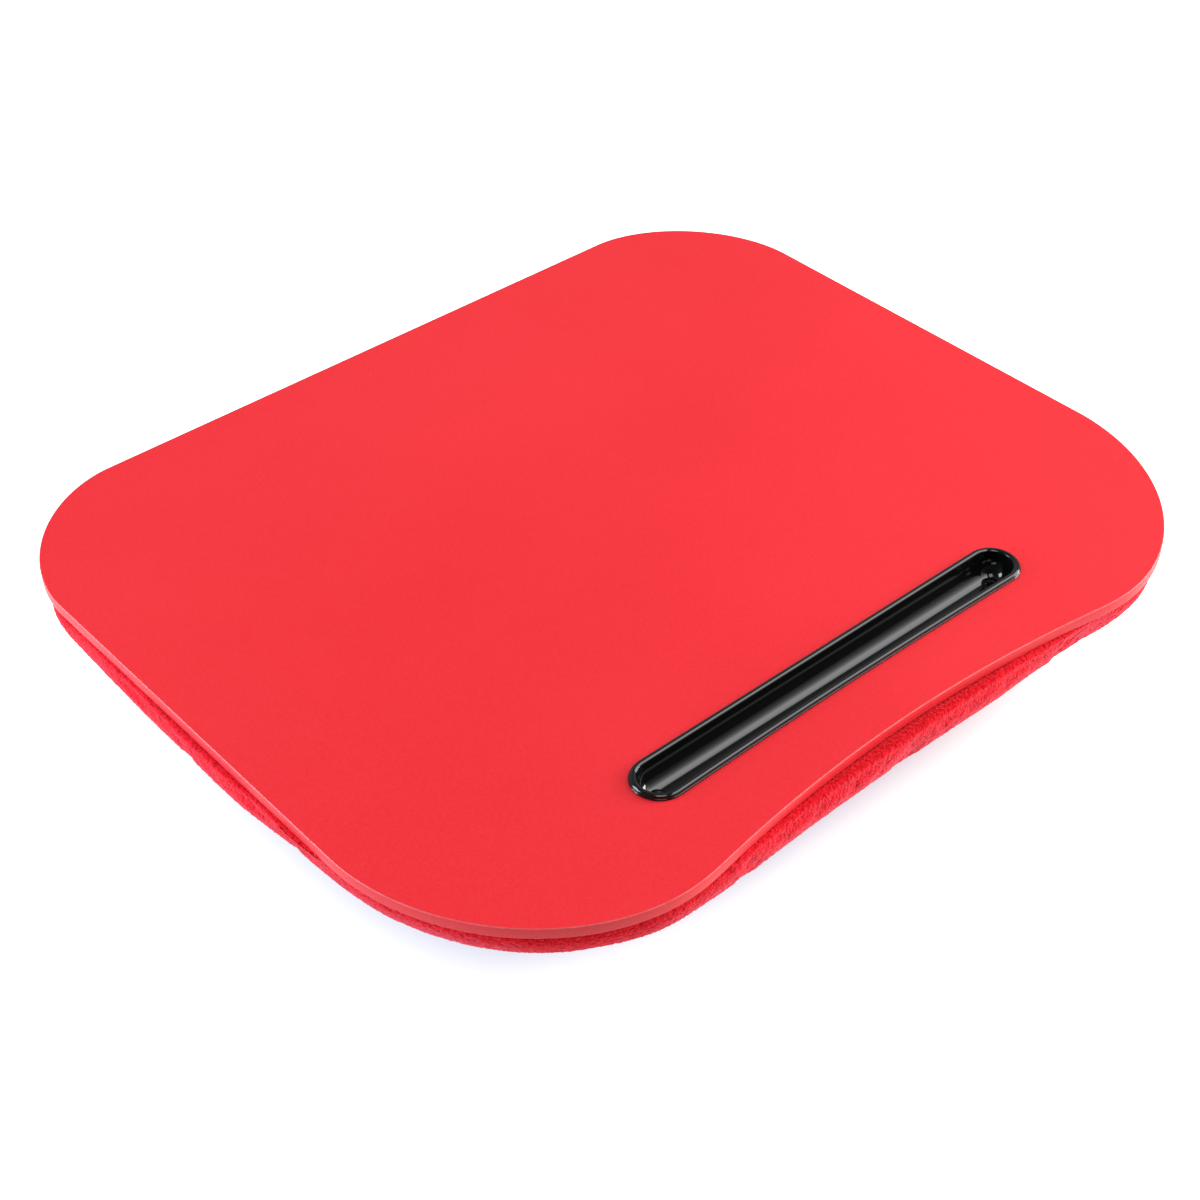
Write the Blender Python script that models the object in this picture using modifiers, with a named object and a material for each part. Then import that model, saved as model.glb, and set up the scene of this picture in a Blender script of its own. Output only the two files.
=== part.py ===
"""Laptop tray: a thin painted board on a bead-filled fleece cushion, with a moulded pen trough let into the front of the board.

Frame: metres, +Z up, +X to the user's right, +Y away from the user. The origin is below the middle of the tray, at the level it rests on.
"""

import math

import bmesh
import bpy
from mathutils import Vector

MM = 0.001
GAP = 0.3 * MM  # between pieces that touch

# ---- driving dimensions ----
# board
BOARD_W = 400.0 * MM
BOARD_D = 340.5 * MM
BOARD_T = 4.8 * MM
BOARD_EDGE_R = 0.4 * MM
BACK_RX, BACK_RY, BACK_N = 61.7 * MM, 66.3 * MM, 1.84  # back corners: superellipse
FRONT_RX, FRONT_RY, FRONT_N = 86.7 * MM, 92.6 * MM, 1.92  # front corners
FRONT_SAG = 10.6 * MM  # depth of the concave front edge

# cushion
CUSHION_H = 47.1 * MM  # floor to the board's underside
CUSHION_HALF_W = 195.5 * MM
CUSHION_SIDE_BOW = 6.5 * MM  # the sides puff out in the middle
CUSHION_BACK_Y = 168.2 * MM
CUSHION_FRONT_Y = 167.7 * MM
CUSHION_FRONT_RX, CUSHION_FRONT_RY, CUSHION_FRONT_N = 91.0 * MM, 118.5 * MM, 2.37
CUSHION_FRONT_SAG = 2.8 * MM
CUSHION_WIDEST = 3.1 * MM  # below the board's underside
CUSHION_RIM_INSET = 3.2 * MM
CUSHION_UNDERCUT = 94.0 * MM  # how far the flat bottom is in from the widest line
FLEECE_T = 2.4 * MM
PANEL_T = 0.8 * MM
TAPE_T = 0.5 * MM

# pen trough
TROUGH_X = 0.0 * MM
TROUGH_Y = -123.45 * MM
TROUGH_L = 201.7 * MM  # rim, end to end
TROUGH_W = 22.3 * MM  # rim, side to side
RIM_H = 1.95 * MM  # above the board
FOOT_BEAD = 0.35 * MM  # how far the bead round the rim's foot stands out
HOLLOW_R = 8.3 * MM  # half width of the hollow and radius of its floor
HOLLOW_DEPTH = 10.95 * MM  # below the rim
TROUGH_WALL = 1.4 * MM
TROUGH_BOW = 1.1 * MM  # the front side bends in at the middle
SLOT_CLEARANCE = 0.35 * MM

# trough fixings
SCREW_SPACING = 179.4 * MM  # one at the centre of each rounded end
SCREW_HEAD_R = 3.2 * MM
SCREW_SHANK_R = 1.5 * MM
SCREW_L = 6.0 * MM
CLAMP_L = 12.0 * MM  # along X
CLAMP_SPAN = 34.0 * MM  # along Y
CLAMP_T = 4.2 * MM

# ---- levels ----
Z_UNDER = CUSHION_H
Z_TOP = Z_UNDER + BOARD_T
Z_RIM = Z_TOP + RIM_H
Z_FLOOR = Z_RIM - HOLLOW_DEPTH
TROUGH_HALF = (TROUGH_L - TROUGH_W) / 2  # half of the straight run
BODY_R = HOLLOW_R + TROUGH_WALL
Z_TROUGH_UNDER = Z_FLOOR - TROUGH_WALL


def clear_scene():
    for obj in list(bpy.data.objects):
        bpy.data.objects.remove(obj, do_unlink=True)
    bpy.context.scene.unit_settings.scale_length = 1.0


def collection(name):
    made = bpy.data.collections.new(name)
    bpy.context.scene.collection.children.link(made)
    return made


def material(name, color, roughness, metallic=0.0):
    made = bpy.data.materials.new(name)
    made.use_nodes = True
    shader = made.node_tree.nodes["Principled BSDF"]
    shader.inputs["Base Color"].default_value = (*color, 1.0)
    shader.inputs["Roughness"].default_value = roughness
    shader.inputs["Metallic"].default_value = metallic
    return made


def add(name, data, mat, where, location=(0, 0, 0), parent=None):
    obj = bpy.data.objects.new(name, data)
    if mat is not None:
        data.materials.append(mat)
    obj.location = location
    obj.parent = parent
    where.objects.link(obj)
    return obj


def cutter(obj):
    obj.hide_render = True
    obj.display_type = "WIRE"
    return obj


def smooth(mesh, angle=35):
    mesh.shade_smooth()
    mesh.set_sharp_from_angle(angle=math.radians(angle))


def quarter(n, steps):
    """Points of a unit superellipse quadrant, from (0, 1) to (1, 0)."""
    found = []
    for i in range(steps + 1):
        t = math.pi / 2 * i / steps
        found.append((math.sin(t) ** (2 / n), math.cos(t) ** (2 / n)))
    return found


def tray_outline(
    half_w, back_y, front_y, back, front, sag, bow=0.0, corner=14, front_steps=9
):
    """Closed outline, clockwise from the middle of the back edge. The front edge is a parabola, sag deep, between the front corners."""
    half = [(0.0, back_y), ((half_w - back[0]) * 0.5, back_y)]
    for x, y in quarter(back[2], corner):
        half.append((half_w - back[0] + back[0] * x, back_y - back[1] + back[1] * y))
    top, low = back_y - back[1], -front_y + front[1]
    for i in range(1, 6):
        half.append((half_w, top + (low - top) * i / 6))
    for x, y in [(y, x) for x, y in quarter(front[2], corner)]:
        half.append((half_w - front[0] + front[0] * x, -front_y + front[1] * (1 - y)))
    # the corner runs smoothly into the front edge
    half[-1] = (half[-1][0], half[-1][1] + 0.06 * sag)
    for i in range(1, front_steps + 1):
        u = 1 - i / front_steps
        half.append(((half_w - front[0]) * u, -front_y + sag * (1 - u * u)))
    middle, reach = (back_y - front_y) / 2, (back_y + front_y) / 2
    bowed = []
    for x, y in half:
        v = min(1.0, abs((y - middle) / reach))
        bowed.append((x + bow * (1 - v * v) * (x / half_w) ** 4, y))
    return bowed + [(-x, y) for x, y in bowed[-2:0:-1]]


def cushion_outline(inset=0.0):
    """The cushion's widest line, drawn in towards the middle so that each side comes in by the inset."""
    line = tray_outline(
        CUSHION_HALF_W,
        CUSHION_BACK_Y,
        CUSHION_FRONT_Y,
        (BACK_RX, BACK_RY, BACK_N),
        (CUSHION_FRONT_RX, CUSHION_FRONT_RY, CUSHION_FRONT_N),
        CUSHION_FRONT_SAG,
        CUSHION_SIDE_BOW,
        corner=10,
        front_steps=7,
    )
    reach_x = max(x for x, y in line)
    reach_y = max(abs(y) for x, y in line)
    kx, ky = 1 - inset / reach_x, 1 - inset / reach_y
    return [(x * kx, y * ky) for x, y in line]


def stadium(half, radius, z, steps=14, bow=0.0):
    """Level loop of a slot's outline, about the trough's centre, counter-clockwise from the right end's front. bow bends its front side in."""
    loop = []
    for side in (0, 1):
        for i in range(steps + 1):
            t = math.pi * (i / steps - 0.5 + side)
            x = (half if side == 0 else -half) + radius * math.cos(t)
            loop.append(Vector((x, radius * math.sin(t), z)))
    if bow:
        for i in range(1, 12):
            u = i / 6 - 1
            loop.append(Vector((half * u, -radius + bow * (1 - u * u), z)))
    return loop


def flat(loop, z):
    return [Vector((x, y, z)) for x, y in loop]


def loft(name, loops, cap_first=True, cap_last=True):
    """Skins a run of loops that have the same number of points, and caps its ends."""
    mesh = bpy.data.meshes.new(name)
    work = bmesh.new()
    rings = [[work.verts.new(p) for p in loop] for loop in loops]
    count = len(rings[0])
    for low, high in zip(rings, rings[1:]):
        for i in range(count):
            j = (i + 1) % count
            work.faces.new((low[i], low[j], high[j], high[i]))
    if cap_first:
        work.faces.new(rings[0][::-1])
    if cap_last:
        work.faces.new(rings[-1])
    bmesh.ops.recalc_face_normals(work, faces=work.faces)
    work.to_mesh(mesh)
    work.free()
    return mesh


def plate(name, outline, thickness, z_middle, mat, where):
    """A flat piece from a 2D curve, turned into a mesh so that it can be cut and bevelled."""
    curve = bpy.data.curves.new(name + "_outline", "CURVE")
    curve.dimensions = "2D"
    curve.fill_mode = "BOTH"
    curve.extrude = thickness / 2
    spline = curve.splines.new("POLY")
    spline.points.add(len(outline) - 1)
    for point, (x, y) in zip(spline.points, outline):
        point.co = (x, y, 0, 1)
    spline.use_cyclic_u = True
    drawn = bpy.data.objects.new(name + "_outline", curve)
    where.objects.link(drawn)
    drawn.location.z = z_middle
    bpy.context.view_layer.update()
    graph = bpy.context.evaluated_depsgraph_get()
    mesh = bpy.data.meshes.new_from_object(drawn.evaluated_get(graph))
    mesh.name = name
    work = bmesh.new()
    work.from_mesh(mesh)
    bmesh.ops.remove_doubles(work, verts=work.verts, dist=1e-6)
    bmesh.ops.recalc_face_normals(work, faces=work.faces)
    work.to_mesh(mesh)
    work.free()
    mesh.materials.clear()
    obj = add(name, mesh, mat, where)
    obj.matrix_world = drawn.matrix_world.copy()
    bpy.data.objects.remove(drawn, do_unlink=True)
    return obj


def bevel(obj, width, segments, angle=40):
    made = obj.modifiers.new("edges", "BEVEL")
    made.width = width
    made.segments = segments
    made.limit_method = "ANGLE"
    made.angle_limit = math.radians(angle)
    made.use_clamp_overlap = True
    return made


def cut(obj, tool):
    made = obj.modifiers.new("cut_" + tool.name, "BOOLEAN")
    made.operation = "DIFFERENCE"
    made.solver = "EXACT"
    made.object = tool
    return made


clear_scene()
TRAY = collection("laptop_tray")
CUTTERS = collection("cutters")

RED_PAINT = material("red_satin_paint", (0.86, 0.045, 0.062), 0.42)
BLACK_GLOSS = material("black_gloss_plastic", (0.012, 0.013, 0.013), 0.12)
BLACK_MATTE = material("black_matte_plastic", (0.02, 0.02, 0.021), 0.55)
BLACK_STEEL = material("blackened_steel", (0.03, 0.03, 0.032), 0.3, 1.0)
RED_FLEECE = material("red_fleece", (0.62, 0.02, 0.035), 0.95)
RED_CLOTH = material("red_woven_cloth", (0.42, 0.02, 0.03), 0.9)
BEADS = material("white_beads", (0.85, 0.85, 0.84), 0.7)
TAPE = material("white_foam_tape", (0.78, 0.77, 0.72), 0.8)

trough_frame = bpy.data.objects.new("trough_frame", None)
trough_frame.location = (TROUGH_X, TROUGH_Y, 0)
TRAY.objects.link(trough_frame)

# ---- top board: one panel with rounded edges and a slot ----
board_line = tray_outline(
    BOARD_W / 2,
    BOARD_D / 2,
    BOARD_D / 2,
    (BACK_RX, BACK_RY, BACK_N),
    (FRONT_RX, FRONT_RY, FRONT_N),
    FRONT_SAG,
)
board = plate(
    "top_board", board_line, BOARD_T, (Z_UNDER + Z_TOP) / 2, RED_PAINT, TRAY
)
bevel(board, BOARD_EDGE_R, 2)
slot_r = BODY_R + SLOT_CLEARANCE
slot = add(
    "slot_cutter",
    loft(
        "slot_cutter",
        [
            stadium(TROUGH_HALF, slot_r, z, bow=TROUGH_BOW)
            for z in (Z_UNDER - 5 * MM, Z_TOP + 5 * MM)
        ],
    ),
    None,
    CUTTERS,
    parent=trough_frame,
)
cut(board, cutter(slot))
smooth(board.data)

# ---- pen trough: rim flange, straight upper wall and rounded floor, one moulding ----
R_OUT = TROUGH_W / 2
WALL_R = R_OUT - FOOT_BEAD


def floor_arc(radius, centre_z, start, end, steps):
    """Half of the U's rounded floor, as (half width, level) pairs from the wall down."""
    found = []
    for i in range(steps + 1):
        t = math.radians(start + (end - start) * i / steps)
        found.append((radius * math.cos(t), centre_z - radius * math.sin(t)))
    return found


def bent(i, radius):
    """How far loop i of the profile bends in: all of it at the rim, and less down the rounded floor."""
    return TROUGH_BOW * min(1.0, radius / (BODY_R if i < 8 else HOLLOW_R))


arc_z = Z_FLOOR + HOLLOW_R
under = Z_TOP + GAP
profile = (
    # outside, up from the floor's underside
    floor_arc(BODY_R, arc_z, 78, 0, 6)
    + [(BODY_R, under)]
    # flange: a bead round its foot, its wall, and its flat top with rounded lips
    + [(R_OUT, under), (R_OUT, under + 0.3 * MM), (WALL_R, under + 0.6 * MM)]
    + [(WALL_R, Z_RIM - 0.68 * MM), (WALL_R - 0.2 * MM, Z_RIM - 0.3 * MM), (WALL_R - 0.85 * MM, Z_RIM)]
    + [(HOLLOW_R + 0.75 * MM, Z_RIM), (HOLLOW_R + 0.13 * MM, Z_RIM - 0.29 * MM)]
    + [(HOLLOW_R, Z_RIM - 0.55 * MM)]
    # inside, down to the floor
    + floor_arc(HOLLOW_R, arc_z, 0, 80, 7)
)
trough = add(
    "pen_trough",
    loft(
        "pen_trough",
        [
            stadium(TROUGH_HALF, r, z, 12, bent(i, r))
            for i, (r, z) in enumerate(profile)
        ],
    ),
    BLACK_GLOSS,
    TRAY,
    parent=trough_frame,
)
smooth(trough.data, 40)

# ---- trough fixings ----
Z_SEAT = Z_FLOOR + 0.45 * MM  # flat ring that the screw head sinks into


def turned(name, profile_points, mat, where, steps=20):
    """A turned piece: a profile at +X, run down its outer side, and a Screw modifier."""
    mesh = bpy.data.meshes.new(name)
    work = bmesh.new()
    made = [work.verts.new((x, 0, z)) for x, z in profile_points]
    for a, b in zip(made, made[1:]):
        work.edges.new((a, b))
    work.to_mesh(mesh)
    work.free()
    obj = add(name, mesh, mat, where)
    spin = obj.modifiers.new("turn", "SCREW")
    spin.axis = "Z"
    spin.steps = spin.render_steps = steps
    spin.use_merge_vertices = True
    spin.merge_threshold = 1e-5
    spin.use_smooth_shade = True
    return obj


def cross_cutter(name, x, top):
    """The cross recess of a screw head: two crossed bars."""
    mesh = bpy.data.meshes.new(name)
    work = bmesh.new()
    arm, half = 1.9 * MM, 0.42 * MM
    points = [
        (half, arm), (half, half), (arm, half), (arm, -half), (half, -half), (half, -arm),
        (-half, -arm), (-half, -half), (-arm, -half), (-arm, half), (-half, half), (-half, arm),
    ]
    low = [work.verts.new((px * 0.7, py * 0.7, -1.25 * MM)) for px, py in points]
    high = [work.verts.new((px, py, 0.6 * MM)) for px, py in points]
    for i in range(len(points)):
        j = (i + 1) % len(points)
        work.faces.new((low[i], low[j], high[j], high[i]))
    work.faces.new(low[::-1])
    work.faces.new(high)
    bmesh.ops.recalc_face_normals(work, faces=work.faces)
    work.to_mesh(mesh)
    work.free()
    return cutter(add(name, mesh, None, CUTTERS, (x, 0, top), trough_frame))


for side, sign in (("left", -1), ("right", 1)):
    x = sign * SCREW_SPACING / 2
    head_top = Z_SEAT - 0.1 * MM

    # hole through the trough's floor, with a ring-shaped seat for the head
    seat = turned(
        "seat_cutter_" + side,
        [
            (0, 1.2 * MM),
            (SCREW_HEAD_R + GAP, 1.2 * MM),
            (SCREW_HEAD_R + GAP, -0.45 * MM),
            (SCREW_SHANK_R + GAP, -0.45 * MM - (SCREW_HEAD_R - SCREW_SHANK_R)),
            (SCREW_SHANK_R + GAP, -8 * MM),
            (0, -8 * MM),
        ],
        None,
        CUTTERS,
    )
    seat.location = (x, 0, head_top)
    seat.parent = trough_frame
    cut(trough, cutter(seat))

    # bridge under the board: two feet against its underside and a web below the trough
    web_low = Z_TROUGH_UNDER - GAP - CLAMP_T
    half_span = CLAMP_SPAN / 2
    top = Z_UNDER - GAP
    shoulder = BODY_R + 0.35 * MM
    section = [
        (half_span, top), (half_span, top - 2.6 * MM), (shoulder + 3.2 * MM, web_low + 1.5 * MM),
        (shoulder + 1.2 * MM, web_low), (-shoulder - 1.2 * MM, web_low),
        (-shoulder - 3.2 * MM, web_low + 1.5 * MM), (-half_span, top - 2.6 * MM), (-half_span, top),
    ]
    # the cradle follows the trough's rounded underside, from foot to foot
    start = math.asin((arc_z - top) / shoulder)
    for i in range(13):
        t = start + (math.pi - 2 * start) * i / 12
        section.append((-shoulder * math.cos(t), arc_z - shoulder * math.sin(t)))
    curve = bpy.data.curves.new("clamp_section_" + side, "CURVE")
    curve.dimensions = "2D"
    curve.fill_mode = "BOTH"
    curve.extrude = CLAMP_L / 2
    spline = curve.splines.new("POLY")
    spline.points.add(len(section) - 1)
    for point, (y, z) in zip(spline.points, section):
        point.co = (y, z, 0, 1)
    spline.use_cyclic_u = True
    drawn = bpy.data.objects.new("clamp_section_" + side, curve)
    TRAY.objects.link(drawn)
    drawn.rotation_euler = (math.pi / 2, 0, math.pi / 2)
    drawn.location = (TROUGH_X + x, TROUGH_Y, 0)
    bpy.context.view_layer.update()
    graph = bpy.context.evaluated_depsgraph_get()
    mesh = bpy.data.meshes.new_from_object(drawn.evaluated_get(graph))
    work = bmesh.new()
    work.from_mesh(mesh)
    bmesh.ops.remove_doubles(work, verts=work.verts, dist=1e-6)
    bmesh.ops.recalc_face_normals(work, faces=work.faces)
    work.to_mesh(mesh)
    work.free()
    mesh.materials.clear()
    clamp = add("trough_clamp_" + side, mesh, BLACK_MATTE, TRAY)
    clamp.matrix_world = drawn.matrix_world.copy()
    bpy.data.objects.remove(drawn, do_unlink=True)
    bevel(clamp, 0.35 * MM, 1, 50)
    pilot = turned(
        "pilot_cutter_" + side,
        [
            (0, 3 * MM),
            (SCREW_SHANK_R + GAP, 3 * MM),
            (SCREW_SHANK_R + GAP, -8 * MM),
            (0, -8 * MM),
        ],
        None,
        CUTTERS,
        16,
    )
    pilot.location = (x, 0, Z_TROUGH_UNDER)
    pilot.parent = trough_frame
    cut(clamp, cutter(pilot))
    smooth(mesh, 30)

    # countersunk screw
    screw = turned(
        "trough_screw_" + side,
        [
            (0, 0),
            (SCREW_HEAD_R - 0.15 * MM, 0),
            (SCREW_HEAD_R, -0.15 * MM),
            (SCREW_HEAD_R, -0.35 * MM),
            (SCREW_SHANK_R, -0.35 * MM - (SCREW_HEAD_R - SCREW_SHANK_R)),
            (SCREW_SHANK_R, -SCREW_L + 1.2 * MM),
            (0.35 * MM, -SCREW_L),
            (0, -SCREW_L),
        ],
        BLACK_STEEL,
        TRAY,
    )
    screw.location = (x, 0, head_top)
    screw.parent = trough_frame
    cut(screw, cross_cutter("cross_cutter_" + side, x, head_top))

# ---- cushion: fleece bowl, woven top panel that dips below the trough, and the filling ----


def section_insets(extra, steps, z_rim):
    """(inset, level) pairs down the cushion's side, from its rim to the flat bottom. extra thickness is taken off the inside."""
    widest = Z_UNDER - CUSHION_WIDEST
    depth = widest - extra
    found = []
    for i in range(3):
        t = math.pi / 2 * i / 3
        z = widest + (z_rim - widest) * math.cos(t)
        found.append((extra + CUSHION_RIM_INSET * (1 - math.sin(t)), z))
    for i in range(steps + 1):
        t = math.pi / 2 * i / steps
        found.append(
            (
                extra + (CUSHION_UNDERCUT - extra) * (1 - math.cos(t)),
                widest - depth * math.sin(t),
            )
        )
    return found


cover = add(
    "cushion_cover",
    loft(
        "cushion_cover",
        [
            flat(cushion_outline(inset), z)
            for inset, z in section_insets(0.0, 9, Z_UNDER - GAP)
        ],
        cap_first=False,
    ),
    RED_FLEECE,
    TRAY,
)
shell = cover.modifiers.new("fleece", "SOLIDIFY")
shell.thickness = FLEECE_T
shell.offset = -1
shell.use_even_offset = True
smooth(cover.data, 60)

z_panel = Z_UNDER - 2 * GAP - TAPE_T - PANEL_T  # underside of the panel's flat part
panel_inset = CUSHION_RIM_INSET + FLEECE_T + 3 * GAP
dip_z = Z_TROUGH_UNDER - 2 * GAP - CLAMP_T - PANEL_T


def dip_loops(z_flat, z_low, slack=0.0):
    """Loops down the dip that the trough and its bridges press into the cushion's top."""
    drop = z_flat - z_low
    rules = ((5.0, 0.0), (2.2, 0.1), (0.4, 0.5), (-1.4, 0.92), (-3.6, 1.0))
    return [
        [
            Vector((TROUGH_X + p.x, TROUGH_Y + p.y, p.z))
            for p in stadium(DIP_HALF, DIP_R + out * MM + slack, z_flat - drop * down, 8)
        ]
        for out, down in rules
    ]


def dipped(name, outer, dip, closed):
    """A level sheet inside the first outer loop with the dip let into it. The further outer loops run on down to a flat bottom, for a closed solid."""
    mesh = bpy.data.meshes.new(name)
    work = bmesh.new()
    runs = []
    for loops in (outer, dip):
        rings = [[work.verts.new(p) for p in loop] for loop in loops]
        for low, high in zip(rings, rings[1:]):
            for i in range(len(low)):
                j = (i + 1) % len(low)
                work.faces.new((low[i], low[j], high[j], high[i]))
        runs.append(rings)
    work.faces.new(runs[1][-1])
    if closed:
        work.faces.new(runs[0][-1])
    edges = []
    for rings in runs:
        ring = rings[0]
        for i in range(len(ring)):
            pair = (ring[i], ring[(i + 1) % len(ring)])
            edges.append(work.edges.get(pair) or work.edges.new(pair))
    bmesh.ops.triangle_fill(work, use_beauty=True, use_dissolve=False, edges=edges)
    bmesh.ops.recalc_face_normals(work, faces=work.faces)
    if not closed and sum(face.normal.z * face.calc_area() for face in work.faces) < 0:
        bmesh.ops.reverse_faces(work, faces=work.faces)
    work.to_mesh(mesh)
    work.free()
    return mesh


DIP_HALF, DIP_R = SCREW_SPACING / 2 + 7 * MM, CLAMP_SPAN / 2 + 3.2 * MM
panel = add(
    "cushion_top_panel",
    dipped(
        "cushion_top_panel",
        [flat(cushion_outline(panel_inset), z_panel)],
        dip_loops(z_panel, dip_z),
        False,
    ),
    RED_CLOTH,
    TRAY,
)
cloth = panel.modifiers.new("cloth", "SOLIDIFY")
cloth.thickness = PANEL_T
cloth.offset = 1
smooth(panel.data, 40)

bead_top = z_panel - GAP
filling_sides = [
    flat(cushion_outline(inset + 0.4 * MM), z)
    for inset, z in section_insets(FLEECE_T + 0.5 * MM, 7, bead_top)
]
filling = add(
    "bead_filling",
    dipped(
        "bead_filling",
        filling_sides,
        dip_loops(bead_top, dip_z - GAP, 0.5 * MM),
        True,
    ),
    BEADS,
    TRAY,
)
smooth(filling.data, 50)

# ---- double-sided tape between the board and the top panel ----
for name, (x, y), (length, width) in (
    ("mounting_tape_left", (-176 * MM, 10 * MM), (16 * MM, 200 * MM)),
    ("mounting_tape_right", (176 * MM, 10 * MM), (16 * MM, 200 * MM)),
    ("mounting_tape_back", (0, 150 * MM), (240 * MM, 16 * MM)),
    ("mounting_tape_front", (0, -149.5 * MM), (180 * MM, 9 * MM)),
):
    mesh = bpy.data.meshes.new(name)
    work = bmesh.new()
    bmesh.ops.create_cube(work, size=1.0)
    bmesh.ops.scale(work, vec=(length, width, TAPE_T), verts=work.verts)
    work.to_mesh(mesh)
    work.free()
    add(name, mesh, TAPE, TRAY, (x, y, Z_UNDER - GAP - TAPE_T / 2))
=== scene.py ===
import math

import bmesh
import bpy
import numpy as np
from mathutils import Matrix, Vector, noise


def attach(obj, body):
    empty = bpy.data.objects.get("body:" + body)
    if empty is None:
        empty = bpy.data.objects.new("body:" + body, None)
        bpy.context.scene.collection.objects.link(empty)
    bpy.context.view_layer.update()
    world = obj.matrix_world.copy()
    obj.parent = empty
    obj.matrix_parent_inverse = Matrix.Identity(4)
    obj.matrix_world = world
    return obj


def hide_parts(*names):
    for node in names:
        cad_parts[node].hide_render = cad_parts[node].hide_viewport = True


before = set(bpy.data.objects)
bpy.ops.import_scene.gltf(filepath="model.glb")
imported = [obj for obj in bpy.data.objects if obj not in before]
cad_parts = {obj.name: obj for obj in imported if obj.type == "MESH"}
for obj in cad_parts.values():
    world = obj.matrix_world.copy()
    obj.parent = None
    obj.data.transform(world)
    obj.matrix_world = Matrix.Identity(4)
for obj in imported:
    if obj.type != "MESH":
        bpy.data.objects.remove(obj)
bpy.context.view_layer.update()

MM = 0.001
scene = bpy.context.scene
scene.view_settings.view_transform = "Standard"
scene.view_settings.look = "None"

# ------------------------------------------------------------------ sizes, as in the CAD
GAP = 0.3 * MM
BOARD_W, BOARD_D, BOARD_T = 400.0 * MM, 340.5 * MM, 4.8 * MM
BACK = (61.7 * MM, 66.3 * MM, 1.84)
FRONT = (86.7 * MM, 92.6 * MM, 1.92)
FRONT_SAG = 10.6 * MM
CUSHION_H = 47.1 * MM
Z_UNDER = CUSHION_H
Z_TOP = Z_UNDER + BOARD_T
TROUGH_Y = -123.45 * MM
TROUGH_L, TROUGH_W, RIM_H = 201.7 * MM, 22.3 * MM, 1.95 * MM
HOLLOW_R, HOLLOW_DEPTH, TROUGH_WALL = 8.3 * MM, 10.95 * MM, 1.4 * MM
TROUGH_BOW = 1.1 * MM
Z_RIM = Z_TOP + RIM_H
Z_FLOOR = Z_RIM - HOLLOW_DEPTH
TROUGH_HALF = (TROUGH_L - TROUGH_W) / 2
BODY_R = HOLLOW_R + TROUGH_WALL
SCREW_SPACING = 179.4 * MM


# ------------------------------------------------------------------ camera
def look_from():
    """The photograph's viewpoint: a target on the board's plane, a distance, and the view's azimuth, elevation and roll."""
    focal, dist = 2120.0, 829.4 * MM
    az, el, roll = math.radians(-40.79), math.radians(39.88), math.radians(-0.64)
    target = Vector((-40.02 * MM, -34.81 * MM, Z_TOP))
    back = Vector((math.sin(az) * math.cos(el), -math.cos(az) * math.cos(el), math.sin(el)))
    right = Vector((math.cos(az), math.sin(az), 0.0))
    up = back.cross(right)
    r2 = right * math.cos(roll) + up * math.sin(roll)
    u2 = up * math.cos(roll) - right * math.sin(roll)
    data = bpy.data.cameras.new("camera")
    data.sensor_fit = "HORIZONTAL"
    data.sensor_width = 36.0
    data.lens = 36.0 * focal / 1200.0
    data.clip_start, data.clip_end = 0.01, 20.0
    cam = bpy.data.objects.new("camera", data)
    scene.collection.objects.link(cam)
    turn = Matrix((r2, u2, back)).transposed().to_4x4()
    cam.matrix_world = Matrix.Translation(target + back * dist) @ turn
    scene.camera = cam


look_from()


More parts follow.
